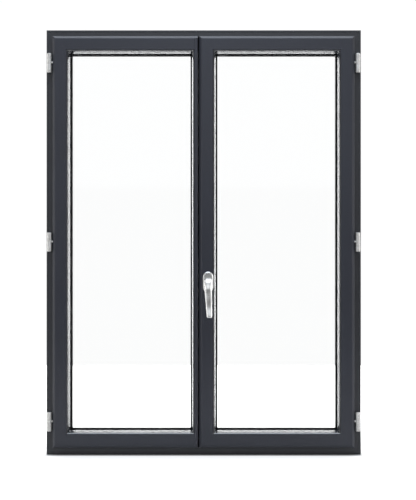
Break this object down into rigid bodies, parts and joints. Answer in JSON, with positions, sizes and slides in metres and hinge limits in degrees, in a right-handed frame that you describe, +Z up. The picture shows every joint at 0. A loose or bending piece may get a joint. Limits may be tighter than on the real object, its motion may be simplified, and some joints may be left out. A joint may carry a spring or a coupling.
{
  "type": "casement window",
  "caption": "Inward-opening two-leaf casement window with slim anthracite metal bars, double glazing, barrel hinges on both jambs and a lever handle that drives rods in the lock stile.",
  "frame": {"origin": "centre of the frame sill's underside, half way along its length and half way through the frame's depth", "axes": "+X to the right seen from the room, +Y out through the window to the weather side, +Z up"},
  "size_m": [1, 0.1455, 1.35],
  "materials": {
    "frame_paint": "satin anthracite powder coat on aluminium",
    "leaf_paint": "satin anthracite powder coat on aluminium",
    "bead_paint": "satin anthracite powder coat, slightly glossier on the clip-in beads",
    "black_rubber": "matt extruded rubber",
    "clear_glass": "clear float glass",
    "spacer_metal": "mill-finish folded spacer bar",
    "hinge_metal": "satin nickel plate",
    "handle_metal": "polished and satin silver anodised casting",
    "zinc_steel": "bright zinc plate",
    "black_plastic": "matt moulded plastic"
  },
  "bodies": {
    "frame": {"frame_head": "frame_paint", "frame_sill": "frame_paint", "frame_jamb_left": "frame_paint", "frame_jamb_right": "frame_paint", "frame_stop_gasket": "black_rubber", "top_keep": "zinc_steel", "bottom_keep": "zinc_steel", "drain_cap_left": "black_plastic", "drain_cap_right": "black_plastic", "left_bottom_frame_knuckle": "hinge_metal", "left_middle_frame_knuckle": "hinge_metal", "left_top_frame_knuckle": "hinge_metal", "right_bottom_frame_knuckle": "hinge_metal", "right_middle_frame_knuckle": "hinge_metal", "right_top_frame_knuckle": "hinge_metal"},
    "left_leaf": {"left_hinge_stile": "leaf_paint", "left_meeting_stile": "leaf_paint", "left_top_rail": "leaf_paint", "left_bottom_rail": "leaf_paint", "left_bead_left": "bead_paint", "left_bead_right": "bead_paint", "left_bead_top": "bead_paint", "left_bead_bottom": "bead_paint", "left_inner_pane": "clear_glass", "left_outer_pane": "clear_glass", "left_spacer": "spacer_metal", "left_inner_gasket": "black_rubber", "left_outer_gasket": "black_rubber", "left_lip_gasket": "black_rubber", "left_bottom_leaf_knuckle": "hinge_metal", "left_middle_leaf_knuckle": "hinge_metal", "left_top_leaf_knuckle": "hinge_metal", "meeting_gasket": "black_rubber"},
    "right_leaf": {"right_hinge_stile": "leaf_paint", "right_lock_stile": "leaf_paint", "right_top_rail": "leaf_paint", "right_bottom_rail": "leaf_paint", "right_bead_left": "bead_paint", "right_bead_right": "bead_paint", "right_bead_top": "bead_paint", "right_bead_bottom": "bead_paint", "right_inner_pane": "clear_glass", "right_outer_pane": "clear_glass", "right_spacer": "spacer_metal", "right_inner_gasket": "black_rubber", "right_outer_gasket": "black_rubber", "right_lip_gasket": "black_rubber", "right_bottom_leaf_knuckle": "hinge_metal", "right_middle_leaf_knuckle": "hinge_metal", "right_top_leaf_knuckle": "hinge_metal", "gearbox_case": "zinc_steel", "lock_faceplate": "zinc_steel", "handle_rosette": "handle_metal"},
    "handle": {"handle_lever": "handle_metal", "handle_spindle": "zinc_steel"},
    "top_rod": {"top_rod": "zinc_steel"},
    "bottom_rod": {"bottom_rod": "zinc_steel"},
    "left_top_bolt": {"left_top_bolt": "zinc_steel"},
    "left_bottom_bolt": {"left_bottom_bolt": "zinc_steel"}
  },
  "joints": [
    {"name": "right_leaf_hinge", "type": "hinge", "parent": "frame", "child": "right_leaf", "pos_m": [0.489, -0.0425, 0.675], "axis": [0, 0, 1], "range_deg": [0, 110]},
    {"name": "left_leaf_hinge", "type": "hinge", "parent": "frame", "child": "left_leaf", "pos_m": [-0.489, -0.0425, 0.675], "axis": [0, 0, -1], "range_deg": [0, 110]},
    {"name": "handle_turn", "type": "hinge", "parent": "right_leaf", "child": "handle", "pos_m": [0.0142, -0.0525, 0.55], "axis": [0, -1, 0], "range_deg": [0, 90]},
    {"name": "top_rod_slide", "type": "slide", "parent": "right_leaf", "child": "top_rod", "axis": [0, 0, 1], "range_m": [-0.0181, 0]},
    {"name": "bottom_rod_slide", "type": "slide", "parent": "right_leaf", "child": "bottom_rod", "axis": [0, 0, 1], "range_m": [0, 0.0181]},
    {"name": "left_top_bolt_slide", "type": "slide", "parent": "left_leaf", "child": "left_top_bolt", "axis": [0, 0, -1], "range_m": [0, 0.018]},
    {"name": "left_bottom_bolt_slide", "type": "slide", "parent": "left_leaf", "child": "left_bottom_bolt", "axis": [0, 0, 1], "range_m": [0, 0.018]}
  ],
  "couplings": [
    {"joint": "top_rod_slide", "follows": "handle_turn", "m_per_rad": -0.01146},
    {"joint": "bottom_rod_slide", "follows": "handle_turn", "m_per_rad": 0.01146}
  ]
}
